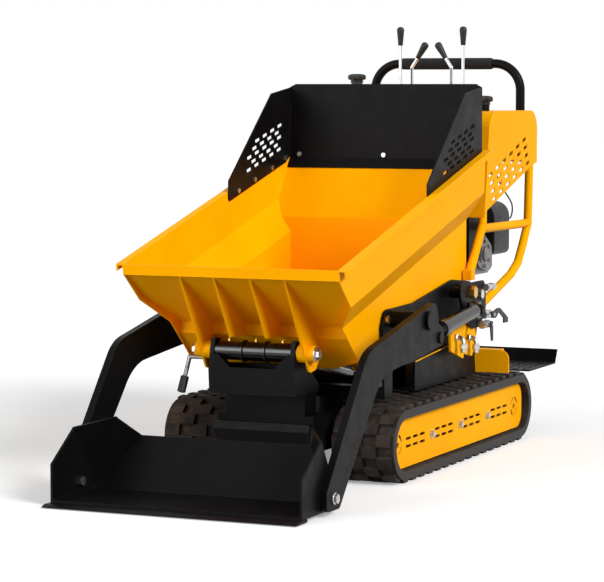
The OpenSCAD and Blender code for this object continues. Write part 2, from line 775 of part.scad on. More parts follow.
module rib_with_ear() {
    side_plate(ear_x - rib_t / 2, ear_x + rib_t / 2)
        polygon(rounded([[wall_top.x, wall_top.y, 0], ear_tip[0], ear_tip[1],
        [ear_back.x, ear_back.y, 0], [band_low.x, band_low.y, 0], [band_top.x, band_top.y, 0]]));
    x_rod(tower_half_w + 2 + side_gap, ear_x, hinge_y, hinge_z, boss_r);
    x_rod(ear_x, ear_x + rib_t / 2 + boss_out, hinge_y, hinge_z, boss_r - 2);
}

module skip_ribs() {
    color(yellow) {
        difference() {
            both_sides() {
                rib_with_ear();
                side_plate(rib_x - rib_t / 2, rib_x + rib_t / 2)
                    polygon([wall_top, [-748, 405], [band_low.x, band_low.y],
                    [band_top.x, band_top.y]]);
            }
            x_rod(-ear_x - 60, ear_x + 60, hinge_y, hinge_z, hinge_pin_r + run_gap);
            x_rod(-ear_x - 60, -ear_x + 10, lock_y, lock_z, lock_r + run_gap);
        }
        side_plate(lug_x, lug_x + lug_t) polygon([[-490, floor_z(-490)], [-445, tip_pin_z - 14],
            [-415, tip_pin_z - 14],
            [-370, floor_z(-370)]]);
    }
}

// Hinge pin with washers and nuts at both ears
pin_end = ear_x + rib_t / 2 + boss_out;

module hinge_pin() {
    color(steel) {
        x_rod(-pin_end, pin_end, hinge_y, hinge_z, hinge_pin_r);
        both_sides() {
            x_rod(pin_end, pin_end + 3, hinge_y, hinge_z, hinge_pin_r + 5);
            x_hex(pin_end + 3, hinge_y, hinge_z, 24, 10);
        }
    }
}

// Locking pin with an L handle: pushed in, it enters the tower's left cheek
lock_y = -660;
lock_z = 338;
lock_r = 6;
lock_tip_x = -tower_half_w - 3;
lock_bend = [-ear_x - 64, lock_y, lock_z];
lock_end = lock_bend + [-8, -32, -84];

module lock_pin() {
    color(steel) rod_path([[lock_tip_x, lock_y, lock_z], lock_bend, lock_end], lock_r);
    color(black) rod(lock_bend + 0.62 * (lock_end - lock_bend),
        lock_bend + 1.08 * (lock_end - lock_bend), lock_r + 5);
}

// Extension: slotted side plates and a back plate inside the skip's rim
ext_x = skip_half_w - skip_t - 1;
ext_front = [-228, rim_z(-228) + 33];
ext_top_front = [66, ext_top_z - 18];
ext_back_y = rear_bend_top.x - skip_t;
ext_below = 27;
ext_slot = [34, 10.5];
ext_slot_step = 54;
ext_slot_start = [[124, 948], [104, 926], [121, 913], [98, 889], [118, 877]];
ext_slot_count = [4, 4, 5, 4, 5];
ext_crown = 10;
ext_crown_in = 20;
ext_lap = [22, 29];

module ext_side_2d() {
    difference() {
        polygon(rounded([[ext_front.x, ext_front.y, 6], [ext_front.x, rim_z(ext_front.x) - ext_below, 6],
            [ext_back_y - 40, rim_z(ext_back_y - 40) - ext_below, 0],
                [ext_back_y, rim_z(ext_back_y - 40) - ext_below + 25, 0],
            [ext_back_y, ext_top_z, 0], [ext_top_front.x, ext_top_front.y, 14]]));
        for (row = [0:4], k = [0:ext_slot_count[row] - 1])
            translate(ext_slot_start[row]) rotate(skip_tilt)
                translate([-k * ext_slot_step, 0] - ext_slot / 2)
                square(ext_slot);
    }
}

// Back plate: laps the sloping rear wall inside, stands up past the rim and ends in a crowned, folded top
module ext_back() {
    face = ext_back_y - 0.3;
    bend_z = rear_bend_top.y + 1.3;
    side_plate(2 - ext_x, ext_x - 2) polygon(bent_sheet([[face - ext_lap.x, bend_z - ext_lap.y],
        [face, bend_z],
        [face, ext_top_z - 1]], ext_t));
    translate([0, face, 0]) rotate([90, 0, 0]) linear_extrude(ext_t) polygon([[-ext_x, ext_top_z - 2],
        [ext_x, ext_top_z - 2], [ext_x, ext_top_z], [ext_x - ext_crown_in, ext_top_z + ext_crown],
        [ext_crown_in - ext_x, ext_top_z + ext_crown], [-ext_x, ext_top_z]]);
    block([ext_crown_in - ext_x, face - ext_t, ext_top_z + ext_crown - ext_t],
        [ext_x - ext_crown_in, face + 14, ext_top_z + ext_crown]);
}

module skip_extension() {
    color(black) difference() {
        union() {
            both_sides() side_plate(ext_x - ext_t, ext_x) ext_side_2d();
            ext_back();
        }
        both_sides() for (y = ext_bolt_y) x_rod(ext_x - ext_t - 1, ext_x + 1, y, rim_z(y) - 12,
            ext_bolt_r + run_gap);
        for (x = ext_back_bolt_x) translate([x, ext_back_y + 1, ext_back_bolt_z]) rotate([90, 0, 0])
            cylinder(h = ext_t + 2, r = ext_bolt_r + run_gap);
    }
}

ext_bolt_y = [-170, -60, 60, 160];
ext_back_bolt_x = [-272, 0, 272];
ext_back_bolt_z = rear_bend_top.y + 12;
ext_bolt_r = 4;

module extension_bolts() {
    color(steel) {
        both_sides() for (y = ext_bolt_y) {
            x_rod(ext_x - ext_t, ext_x, y, rim_z(y) - 12, ext_bolt_r);
            on_left() x_hex(-ext_x + ext_t, y, rim_z(y) - 12, 13, 6);
        }
        for (x = ext_back_bolt_x) translate([x, ext_back_y - 0.3 - ext_t, ext_back_bolt_z])
            rotate([90, 0, 0]) {
            cylinder(h = 6, d = 15, $fn = 6);
            translate([0, 0, -ext_t]) cylinder(h = ext_t, r = ext_bolt_r);
        }
    }
}

// Console: side panels with slanted slots, a bent front, top and rear sheet, and a valve shelf
console_front_y = 287;
console_lean = 37;
console_arc = 60;
console_rear_y = 763;
console_low_z = 679;
console_rear_low_z = 830;
console_in = console_half_w - console_t;
shelf_y = [540, 640];
shelf_z = 842;
shelf_t = 8;
slot_half_l = 16;
slot_half_h = 6;
slot_rise = 5;
slot_step = [60.5, 19.6];
slot_row = [-11, 24];
slot_start = [373, 731];

// Corner of the console's sheet: points on an arc about a centre
function console_corner(centre, from, to) =
    [for (a = [from:-15:to]) centre + console_arc * [cos(a), sin(a)]];

// Where the leaning front stands at a height
function console_front(z) =
    console_front_y + console_lean * (z - console_low_z) / (console_top_z - console_arc - console_low_z);

// The console's sheet: leaning front, rounded into the top and down the rear
console_sheet = concat([[console_front_y, console_low_z]],
    console_corner([console_front_y + console_lean + console_arc, console_top_z - console_arc], 180, 90),
    console_corner([console_rear_y - console_arc, console_top_z - console_arc], 90, 0),
    [[console_rear_y, console_rear_low_z]]);

module console_side_2d() {
    difference() {
        polygon(concat([[console_front(console_low_z + 14), console_low_z + 14]],
            [for (i = [1:len(console_sheet) - 1]) console_sheet[i]], [[700, console_rear_low_z - 14]]));
        for (row = [0:3], k = [0:5]) translate(slot_start + k * slot_step + row * slot_row)
            polygon([[-slot_half_l, -slot_rise - slot_half_h], [slot_half_l, slot_rise - slot_half_h],
                [slot_half_l, slot_rise + slot_half_h], [-slot_half_l, slot_half_h - slot_rise]]);
    }
}

module console_shell() {
    color(yellow) difference() {
        union() {
            both_sides() side_plate(console_in, console_half_w) console_side_2d();
            side_plate(-console_in - 1, console_in + 1) polygon(bent_sheet(console_sheet, -console_t));
            block([-console_in - 1, shelf_y[0], shelf_z], [console_in + 1, shelf_y[1], shelf_z + shelf_t]);
        }
        for (x = lever_x) block([x - lever_r - 3, lever_y - 22, console_top_z - 20],
            [x + lever_r + 3, lever_y + 22, console_top_z + 20]);
        both_sides() translate([bar_half_w, bar_y, shelf_z]) cylinder(h = 300, r = bar_r + side_gap);
        translate([fuel_neck.x, fuel_neck.y, shelf_z]) cylinder(h = 300, r = neck_r + side_gap);
        translate([oil_neck.x, oil_neck.y, shelf_z]) cylinder(h = 300, r = neck_r + side_gap);
    }
}

// Tube frame: rear uprights, lower tubes to the subframe, middle and front tubes
frame_x = console_in - frame_tube_r;
frame_mid_z = 645;
frame_front_y = console_front_y + console_t + frame_tube_r + 12;

module tube_frame() {
    color(yellow) both_sides() {
        rod_path([[frame_x, 740, 838], [frame_x, 727, 640], [frame_x, 684, 582], [frame_x, 636, 525],
            [frame_x, 570, 493],
            [frame_x, 250, 404]], frame_tube_r);
        block([frame_x - 14, 237, 388], [frame_x + 14, 252, 436]);
        rod_path([[frame_x, frame_front_y, 740], [frame_x, frame_front_y, frame_mid_z + 10],
            [frame_x, 205, 515]], frame_tube_r);
        block([sub_x, 184, 500.5], [sub_x + 26, 216, 531]);
        rod([frame_x, frame_front_y, frame_mid_z], [frame_x, 726, frame_mid_z - 3], frame_tube_r);
    }
}

// Handlebar: two uprights, round bends and a top tube, clamped inside the console's sides
bar_y = 725;
bar_bend_r = 83;

module handlebar() {
    color(black) {
        both_sides() {
            translate([bar_half_w, bar_y, shelf_z]) cylinder(h = bar_z - bar_bend_r - shelf_z, r = bar_r);
            translate([bar_half_w - bar_bend_r, bar_y, bar_z - bar_bend_r]) rotate([90, 0, 0])
                rotate_extrude(angle = 90) translate([bar_bend_r, 0]) circle(r = bar_r);
            block([bar_half_w, bar_y - 15, shelf_z + 8], [console_in, bar_y + 15, shelf_z + 38]);
        }
        x_rod(bar_bend_r - bar_half_w, bar_half_w - bar_bend_r, bar_y, bar_z, bar_r);
    }
}

grip_half_l = bar_half_w - bar_bend_r - 8;

module handle_grip() {
    color(black) difference() {
        x_rod(-grip_half_l, grip_half_l, bar_y, bar_z, grip_r);
        x_rod(-grip_half_l - 1, grip_half_l + 1, bar_y, bar_z, bar_r + run_gap);
    }
}

// Control valve on the shelf with a lever shaft in lugs
lever_x = [-103, -65, 65, 103];
lever_shaft_r = 5;
valve_half_w = 128;
valve_top = lever_z - 26;

module control_valve() {
    color(grey) {
        block([-valve_half_w, lever_y - 35, shelf_z + shelf_t], [valve_half_w, lever_y + 35, valve_top]);
        for (x = [-126, -88, -40, 32, 80, 118]) side_plate(x, x + 8) polygon(rounded([
            [lever_y - 14, valve_top - 1, 0], [lever_y + 14, valve_top - 1, 0],
            [lever_y + 10, lever_z + 10, 9], [lever_y - 10, lever_z + 10, 9]]));
        x_rod(-126, 126, lever_y, lever_z, lever_shaft_r);
        for (x = lever_x) translate([x, lever_y - 35, valve_top - 30]) rotate([90, 0, 0])
            cylinder(h = 30, r = 11);
    }
}

// Control lever: hub on the shaft, steel stem through its points and a plastic knob
module lever(points, knob_end) {
    x = points[0].x;
    last = points[len(points) - 1];
    color(steel) difference() {
        union() {
            x_rod(x - 7, x + 7, lever_y, lever_z, 11);
            rod_path(points, lever_r);
        }
        x_rod(x - 8, x + 8, lever_y, lever_z, lever_shaft_r + run_gap);
    }
    color(black) {
        taper(last, knob_end, 7, 10.6);
        translate(knob_end) sphere(r = 11);
    }
}

lever_top = 1190;
knob_top = 1235;

module lever_outer() {
    x = lever_x[3];
    lever([[x, lever_y, lever_z], [x, lever_y, lever_top]], [x, lever_y, knob_top]);
}

module lever_inner() {
    x = lever_x[2];
    lever([[x, lever_y, lever_z], [x, lever_y, 1122], [x - 19, lever_y, 1150]], [x - 41, lever_y, 1186]);
}

// Tanks with filler necks, and their star caps
neck_r = 17;
fuel_neck = [-200, 474, 1074];
oil_neck = [215, 470, 1008];

module star_cap(at) {
    color(black) translate(at + [0, 0, 0.2]) {
        difference() {
            cylinder(h = 26, r = neck_r + 5);
            translate([0, 0, -1]) cylinder(h = 3, r = 6);
        }
        for (k = [0:5]) rotate(60 * k) translate([neck_r + 3, 0, 8]) cylinder(h = 20, r = 5);
    }
}

module fuel_tank() {
    color(black) {
        side_plate(-console_in, -120) polygon(rounded([[410, 800, 20], [530, 800, 20], [530, 930, 20],
            [410, 930, 20]]));
        translate([fuel_neck.x, fuel_neck.y, 925]) cylinder(h = fuel_neck.z - 925, r = neck_r);
    }
}

module hydraulic_tank() {
    lap = console_t + 0.1;
    color(black) {
        side_plate(-205, 235) polygon([[console_front(console_low_z) + lap, 545], [395, 545], [395, 835],
            [console_front(835) + lap, 835], [console_front(console_low_z) + lap, console_low_z]]);
        side_plate(185, 240) polygon([[console_front(800) + lap, 800], [500, 800], [500, 950], [340, 950],
            [console_front(925) + lap, 925]]);
        translate([oil_neck.x, oil_neck.y, 945]) cylinder(h = oil_neck.z - 945, r = neck_r);
    }
}

// Engine on its bed: crankcase with covers and a finned head, cowl, muffler and pump
bed_top = bed_z + 8;
case_front_y = 430;
case_rear_y = 599;
cowl_rear_y = 738;

module engine_block() {
    color(grey) {
        side_plate(-90, 185) polygon(rounded([[case_front_y, bed_top, 0], [case_rear_y, bed_top, 0],
            [case_rear_y, 612, 40],
            [case_front_y, 612, 40]]));
        side_plate(184, 199) polygon(rounded([[462, 522, 25], [560, 500, 25], [596, 512, 15],
            [596, 575, 25], [540, 608, 30],
            [482, 592, 40]]));
        x_rod(199, 207, 525, 556, 22);
        for (k = [0:5]) x_hex(185, 525 + 38 * cos(60 * k + 30), 556 + 38 * sin(60 * k + 30), 10, 20);
        block([-50, 440, 605], [60, 540, 690]);
        for (k = [0:5]) block([-70, 428, 622 + 11 * k], [80, 552, 627 + 11 * k]);
        block([-60, 434, 690], [70, 546, 712]);
    }
}

module engine_cowl() {
    color(black) difference() {
        translate([0, cowl_rear_y, 0]) rotate([90, 0, 0]) linear_extrude(cowl_rear_y - case_rear_y)
            polygon(rounded([[20, 546, 30], [205, 546, 20],
            [205, 708, 45], [20, 708, 45]]));
        for (k = [0:6]) block([60 + 16 * k, cowl_rear_y - 6, 590], [68 + 16 * k, cowl_rear_y + 1, 670]);
    }
}

module muffler() {
    color(steel) {
        side_plate(-215, -105) polygon(rounded([[450, 616, 24], [560, 616, 24], [560, 700, 24],
            [450, 700, 24]]));
        x_rod(-105.5, -70, 500, 660, 14);
    }
}

module hydraulic_pump() {
    color(grey) translate([60, case_front_y, 552]) rotate([90, 0, 0]) {
        cylinder(h = 12, r = 46);
        cylinder(h = 34, r = 38);
        translate([-32, -30, 0]) cube([64, 60, 30]);
    }
}

module drive_motors() {
    color(grey) both_sides() {
        x_rod(20, rail_in, half_base, 132, 40);
        x_rod(8, 20, half_base, 132, 22);
    }
}

// Yellow plates: fender plates over the tracks and brackets beside the cylinder anchors
fender_y = 337;
fender_t = 6;
fender_low = track_r * 2 + 8;
fender_top = 285;
fender_foot = 152;
bracket_t = (anchor_x - sub_x - sub_t) / 4.5;

module body_panels() {
    color(yellow) both_sides() {
        translate([0, fender_y + fender_t, 0]) rotate([90, 0, 0]) linear_extrude(fender_t)
            polygon(rounded([[rail_out, fender_foot, 0],
            [track_in - 3, fender_foot, 0], [track_in - 3, fender_low, 0], [track_outer + 5, fender_low, 0],
            [track_outer + 5, fender_top, 28], [rail_out, fender_top, 0]]));
        block([rail_out, fender_y + fender_t, fender_top - 5], [track_outer - 24, fender_y + 40,
            fender_top]);
        side_plate(sub_x + sub_t, sub_x + sub_t + 3) polygon([[guard_y, guard_z], [80, guard_z + 24],
            [80, guard_z + 27], [guard_y, guard_z + 3]]);
        side_plate(anchor_x - bracket_t, anchor_x) {
            polygon(rounded([[-31, 358, 4], [40, 396, 6], [104, 396, 4], [86, 348, 6], [74, 283, 4],
                [-25, 312, 6]]));
            polygon(rounded([[120, 396, 4], [200, 396, 6], [180, 336, 10], [147, 284, 6], [82, 296, 4],
                [101, 331, 6]]));
        }
    }
}

// Ball valves on the right anchor plate with bent handles
valve_x = anchor_x + anchor_t + 14;
valve_upper = [206, 402];
valve_lower = [190, 374];
valve_stem_x = valve_x + 18;
valve_stem_r = 5;
handle_t = 4;

module valve_body(at) {
    translate([valve_x, at.x - 26, at.y]) rotate([-90, 0, 0]) {
        cylinder(h = 52, r = 11.5);
        cylinder(h = 12, d = 26, $fn = 6);
        translate([0, 0, 40]) cylinder(h = 12, d = 26, $fn = 6);
    }
    x_rod(anchor_x + anchor_t, valve_stem_x, at.x, at.y, 8);
    x_rod(valve_stem_x, valve_stem_x + handle_t + 4, at.x, at.y, valve_stem_r);
}

module valve_bodies() {
    color(steel) {
        valve_body(valve_upper);
        valve_body(valve_lower);
        x_hex(anchor_x + anchor_t, 174, 463, 26, 14);
        translate([anchor_x + anchor_t + 12, 204, 480]) rotate([-90, 0, 0]) {
            cylinder(h = 70, r = 9);
            cylinder(h = 14, d = 23, $fn = 6);
            translate([0, 0, 42]) cylinder(h = 14, d = 23, $fn = 6);
        }
    }
}

module valve_handle(at, outline) {
    color(black) difference() {
        side_plate(valve_stem_x + 0.3, valve_stem_x + 0.3 + handle_t) polygon(rounded(outline));
        x_rod(valve_stem_x, valve_stem_x + 10, at.x, at.y, valve_stem_r + run_gap);
    }
}

module valve_handle_upper() {
    a = valve_upper;
    valve_handle(a, [[a.x - 12, a.y - 10, 8], [a.x + 21, a.y - 12, 4], [a.x + 48, a.y + 4, 5],
        [a.x + 91, a.y - 18, 3],
        [a.x + 90, a.y - 32, 2], [a.x + 126, a.y - 33, 3], [a.x + 128, a.y - 19, 6],
            [a.x + 57, a.y + 15, 8],
        [a.x + 34, a.y + 16, 8], [a.x + 10, a.y + 10, 6], [a.x - 12, a.y + 10, 8]]);
}

module valve_handle_lower() {
    a = valve_lower;
    valve_handle(a, [[a.x - 12, a.y + 10, 8], [a.x + 1, a.y - 48, 4], [a.x + 15, a.y - 50, 4],
        [a.x + 14, a.y + 10, 8]]);
}

// Brass: grease nipples on the hinge tube and nuts on the subframe and anchors
module brass_fittings() {
    color(brass) {
        for (x = nipple_x) translate([x, hinge_y, hinge_z + hinge_pin_r + 2]) {
            cylinder(h = hinge_tube_r - hinge_pin_r + 4, r = nipple_r - run_gap);
            translate([0, 0, hinge_tube_r - hinge_pin_r - 1]) cylinder(h = 5, d = 10, $fn = 6);
            translate([0, 0, hinge_tube_r - hinge_pin_r + 6]) sphere(r = 3);
        }
        both_sides() {
            x_hex(sub_x + sub_t, arm_pivot_y - 40, arm_pivot_z + 2, 19, 9);
            x_hex(anchor_x + anchor_t, 111, 473, 32, 16);
        }
    }
}

// Rear step: chequer plate with an upturned rear edge, hinged on the chassis' tail
step_t = 5;
step_pin_r = 8;
step_start = step_y + 24;
step_flange = 39;
step_lean = 24;

module rear_step() {
    pin_z = step_z - 8;
    color(black) {
        block([-step_half_w, step_start, step_z - step_t], [step_half_w, rear_y - step_lean, step_z]);
        side_plate(-step_half_w, step_half_w) polygon([[rear_y - step_lean - step_t, step_z - step_t],
            [rear_y - step_lean, step_z - step_t], [rear_y, step_z + step_flange],
                [rear_y - step_t, step_z + step_flange]]);
        both_sides() {
            x_rod(rail_in + 18, rail_in + 46, step_y, pin_z, step_pin_r);
            side_plate(rail_in + 34, rail_in + 44)
                polygon(rounded([[step_y - 14, pin_z - 14, 13], [step_start + 40, pin_z - 14, 6],
                [step_start + 40, step_z - step_t, 0], [step_start, step_z - step_t, 0],
                    [step_y + 14, pin_z + 14, 13], [step_y - 14, pin_z + 14, 13]]));
        }
    }
}

// Throttle cable from the valve shelf to the engine cowl, swept along hand-chosen points
cable_r = 2.5;
cable_route = [[192, 630, 841.5], [192, 632, 822], [193, 640, 802], [194, 656, 783], [195, 678, 765],
    [196, 702, 748],
    [197, 728, 731], [198, 750, 717.5], [198, 768.4, 705.5], [198, 779.1, 696.5], [198, 784, 681],
        [198, 779.1, 665.5],
    [198, 768.4, 656.5], [198, 757, 654], [198, cowl_rear_y + 0.5, 653.5]];

function ring(i) =
    let (p = cable_route, n = len(p), way = unit(p[min(i + 1, n - 1)] - p[max(i - 1, 0)]),
        across = unit(cross(way, [0, 1, 0.3])), over = cross(way, across))
    [for (k = [0:7]) p[i] + cable_r * (cos(45 * k) * across + sin(45 * k) * over)];

module throttle_cable() {
    n = len(cable_route);
    color(black) polyhedron(
        [for (i = [0:n - 1]) each ring(i)],
        concat([[for (k = [7:-1:0]) k]], [[for (k = [0:7]) 8 * (n - 1) + k]],
            [for (i = [0:n - 2], k = [0:7]) let (a = 8 * i + k, b = 8 * i + (k + 1) % 8)
                each [[a, b, b + 8], [a, b + 8, a + 8]]]));
}

placed() chassis_frame();
placed() front_tower();
placed() hinge_tube();
placed() brass_fittings();
placed() subframe();
placed() on_left() color(tread) track();  // track_left
placed() color(tread) track();  // track_right
placed() on_left() color(yellow) track_cover();  // track_cover_left
placed() color(yellow) track_cover();  // track_cover_right
placed() cover_bolts();
placed() drive_motors();
placed() engine_block();
placed() engine_cowl();
placed() muffler();
placed() fuel_tank();
placed() hydraulic_tank();
placed() hydraulic_pump();
placed() control_valve();
placed() console_shell();
placed() tube_frame();
placed() handlebar();
placed() handle_grip();
placed() body_panels();
placed() valve_bodies();
placed() throttle_cable();
placed() skip_tub();
placed() skip_ribs();
placed() skip_extension();
placed() extension_bolts();
placed() hinge_pin();
placed() lock_pin();
placed() shovel_pan();
placed() cutting_edge();
placed() on_left() loader_arm();  // loader_arm_left
placed() loader_arm();  // loader_arm_right
placed() shovel_bolts();
placed() on_left() loader_barrel();  // loader_barrel_left
placed() loader_barrel();  // loader_barrel_right
placed() on_left() loader_rod();  // loader_rod_left
placed() loader_rod();  // loader_rod_right
placed() tip_barrel();
placed() tip_rod();
placed() on_left() sprocket();  // sprocket_left
placed() sprocket();  // sprocket_right
placed() on_left() idler();  // idler_left
placed() idler();  // idler_right
placed() on_left() roller(-roller_y);  // front_roller_left
placed() roller(-roller_y);  // front_roller_right
placed() on_left() roller(roller_y);  // rear_roller_left
placed() roller(roller_y);  // rear_roller_right
placed() on_left() lever_outer();  // lever_outer_left
placed() on_left() lever_inner();  // lever_inner_left
placed() lever_inner();  // lever_inner_right
placed() lever_outer();  // lever_outer_right
placed() valve_handle_upper();
placed() valve_handle_lower();
placed() rear_step();
placed() star_cap(oil_neck);  // tank_cap
placed() star_cap(fuel_neck);  // fuel_cap
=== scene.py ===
import json
import math

import bmesh
import bpy
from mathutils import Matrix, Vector


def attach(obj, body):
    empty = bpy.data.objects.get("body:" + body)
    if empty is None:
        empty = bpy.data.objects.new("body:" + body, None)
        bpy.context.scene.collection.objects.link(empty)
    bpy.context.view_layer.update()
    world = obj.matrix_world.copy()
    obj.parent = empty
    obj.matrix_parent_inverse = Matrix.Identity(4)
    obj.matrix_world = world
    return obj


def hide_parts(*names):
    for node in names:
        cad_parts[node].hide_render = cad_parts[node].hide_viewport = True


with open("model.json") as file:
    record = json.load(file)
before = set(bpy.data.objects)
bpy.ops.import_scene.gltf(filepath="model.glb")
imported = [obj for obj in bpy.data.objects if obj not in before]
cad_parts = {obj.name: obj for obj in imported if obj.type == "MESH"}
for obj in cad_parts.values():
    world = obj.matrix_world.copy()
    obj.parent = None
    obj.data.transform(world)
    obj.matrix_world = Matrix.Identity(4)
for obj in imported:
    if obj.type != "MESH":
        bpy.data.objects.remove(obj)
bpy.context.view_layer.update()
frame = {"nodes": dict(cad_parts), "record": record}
nodes = frame["nodes"]
scene = bpy.context.scene

# Camera at the photograph's viewpoint
camera_data = bpy.data.cameras.new("photo_camera")
camera_data.sensor_fit = "HORIZONTAL"
camera_data.sensor_width = 36.0
camera_data.lens = 154.97
camera_data.clip_end = 200.0
camera = bpy.data.objects.new("photo_camera", camera_data)
camera.location = (2.8826, -6.7569, 1.0676)
camera.rotation_euler = (math.radians(85.472), 0.0, math.radians(23.846))
scene.collection.objects.link(camera)
scene.camera = camera
scene.view_settings.view_transform = "Standard"


# Shader helpers
def srgb(r, g, b):
    """Linear colour of an 8-bit screen colour."""
    def channel(v):
        v /= 255.0
        return v / 12.92 if v <= 0.04045 else ((v + 0.055) / 1.055) ** 2.4
    return (channel(r), channel(g), channel(b), 1.0)


class Shader:
    """A material with its principled shader and a short way to add and join nodes."""

    def __init__(self, name):
        self.material = bpy.data.materials.new(name)
        self.material.use_nodes = True
        self.tree = self.material.node_tree
        self.bsdf = self.tree.nodes["Principled BSDF"]
        self.place = self.add("ShaderNodeTexCoord").outputs["Object"]

    def add(self, kind, **settings):
        node = self.tree.nodes.new(kind)
        for key, value in settings.items():
            setattr(node, key, value)
        return node

    def join(self, source, target):
        self.tree.links.new(source, target)

    def noise(self, scale, detail=3.0, rough=0.55):
        node = self.add("ShaderNodeTexNoise")
        node.inputs["Scale"].default_value = scale
        node.inputs["Detail"].default_value = detail
        node.inputs["Roughness"].default_value = rough
        self.join(self.place, node.inputs["Vector"])
        return node.outputs["Fac"]

    def band(self, value, low, high, out_low=0.0, out_high=1.0):
        node = self.add("ShaderNodeMapRange", clamp=True)
        self.join(value, node.inputs["Value"])
        for key, number in (("From Min", low), ("From Max", high), ("To Min", out_low), ("To Max", out_high)):
            node.inputs[key].default_value = number
        return node.outputs["Result"]

    def math(self, operation, a, b):
        node = self.add("ShaderNodeMath", operation=operation)
        for socket, value in zip(node.inputs, (a, b)):
            if isinstance(value, (int, float)):
                socket.default_value = value
            else:
                self.join(value, socket)
        return node.outputs[0]

    def mix(self, amount, a, b):
        node = self.add("ShaderNodeMix", data_type="RGBA")
        self.join(amount, node.inputs["Factor"])
        for key, value in (("A", a), ("B", b)):
            socket = [s for s in node.inputs if s.name == key and s.type == "RGBA"][0]
            if isinstance(value, tuple):
                socket.default_value = value
            else:
                self.join(value, socket)
        return [s for s in node.outputs if s.type == "RGBA"][0]

    def edges(self, radius):
        """1 on sharp outside and inside corners, 0 on flat places."""
        bevel = self.add("ShaderNodeBevel", samples=4)
        bevel.inputs["Radius"].default_value = radius
        flat = self.add("ShaderNodeNewGeometry").outputs["Normal"]
        dot = self.add("ShaderNodeVectorMath", operation="DOT_PRODUCT")
        self.join(bevel.outputs["Normal"], dot.inputs[0])
        self.join(flat, dot.inputs[1])
        return self.band(dot.outputs["Value"], 0.995, 0.8)

    def bump(self, height, strength, distance):
        node = self.add("ShaderNodeBump")
        node.inputs["Strength"].default_value = strength
        node.inputs["Distance"].default_value = distance
        self.join(height, node.inputs["Height"])
        self.join(node.outputs["Normal"], self.bsdf.inputs["Normal"])


def painted(name, colour, shade, worn, rough, specular):
    """Powder coat: slight blotches, orange peel, and thin paint on the edges."""
    s = Shader(name)
    blotch = s.band(s.noise(5.0, 5.0), 0.35, 0.75)
    speck = s.band(s.noise(160.0, 2.0), 0.62, 0.72, 0.0, 0.35)
    base = s.mix(blotch, colour, shade)
    base = s.mix(s.math("MULTIPLY", s.edges(0.0022), s.band(s.noise(70.0), 0.35, 0.7)), base, worn)
    s.join(s.mix(s.math("MULTIPLY", speck, blotch), base, shade), s.bsdf.inputs["Base Color"])
    s.join(s.band(s.noise(22.0, 4.0), 0.3, 0.7, rough - 0.06, rough + 0.08), s.bsdf.inputs["Roughness"])
    s.bsdf.inputs["Specular IOR Level"].default_value = specular
    s.bump(s.noise(420.0, 2.0), 0.12, 0.0006)
    return s.material


def metal(name, colour, dark, rough, grain):
    """Bare or plated metal with a fine grain and darker patches."""
    s = Shader(name)
    patch = s.band(s.noise(38.0, 5.0), 0.4, 0.75)
    s.join(s.mix(patch, colour, dark), s.bsdf.inputs["Base Color"])
    s.bsdf.inputs["Metallic"].default_value = 1.0
    s.join(s.band(s.noise(90.0, 4.0), 0.3, 0.7, rough, rough + 0.12), s.bsdf.inputs["Roughness"])
    s.bump(s.noise(grain, 3.0), 0.08, 0.0004)
    return s.material


def soft(name, colour, dusty, rough, dust, grain, depth):
    """Rubber, foam or plastic: dull, grainy, with some dust in it."""
    s = Shader(name)
    patch = s.band(s.noise(14.0, 6.0, 0.65), 0.38, 0.72, 0.0, dust)
    s.join(s.mix(patch, colour, dusty), s.bsdf.inputs["Base Color"])
    s.join(s.band(s.noise(60.0), 0.3, 0.7, rough - 0.06, rough + 0.06), s.bsdf.inputs["Roughness"])
    s.bsdf.inputs["Specular IOR Level"].default_value = 0.3
    s.bump(s.noise(grain, 4.0, 0.6), depth, 0.0012)
    return s.material


def rubber(name, colour, worn, dusty):
    """Track rubber: black on the sides, scuffed on the blocks, dust on what faces up or out of the loop."""
    s = Shader(name)
    normal = s.add("ShaderNodeSeparateXYZ")
    s.join(s.add("ShaderNodeTexCoord").outputs["Normal"], normal.inputs["Vector"])
    level = s.math("SUBTRACT", 1.0, s.math("ABSOLUTE", normal.outputs["X"], 0.0))
    tread = s.band(level, 0.5, 0.95)
    scuff = s.band(s.noise(26.0, 6.0, 0.65), 0.35, 0.7, 0.1, 1.0)
    base = s.mix(s.math("MULTIPLY", tread, scuff), colour, worn)
    dust = s.math("MULTIPLY", tread, s.band(s.noise(9.0, 6.0, 0.7), 0.5, 0.75, 0.0, 0.8))
    s.join(s.mix(dust, base, dusty), s.bsdf.inputs["Base Color"])
    s.join(s.band(tread, 0.0, 1.0, 0.5, 0.9), s.bsdf.inputs["Roughness"])
    s.bsdf.inputs["Specular IOR Level"].default_value = 0.25
    s.bump(s.noise(300.0, 4.0, 0.6), 0.35, 0.0012)
    return s.material


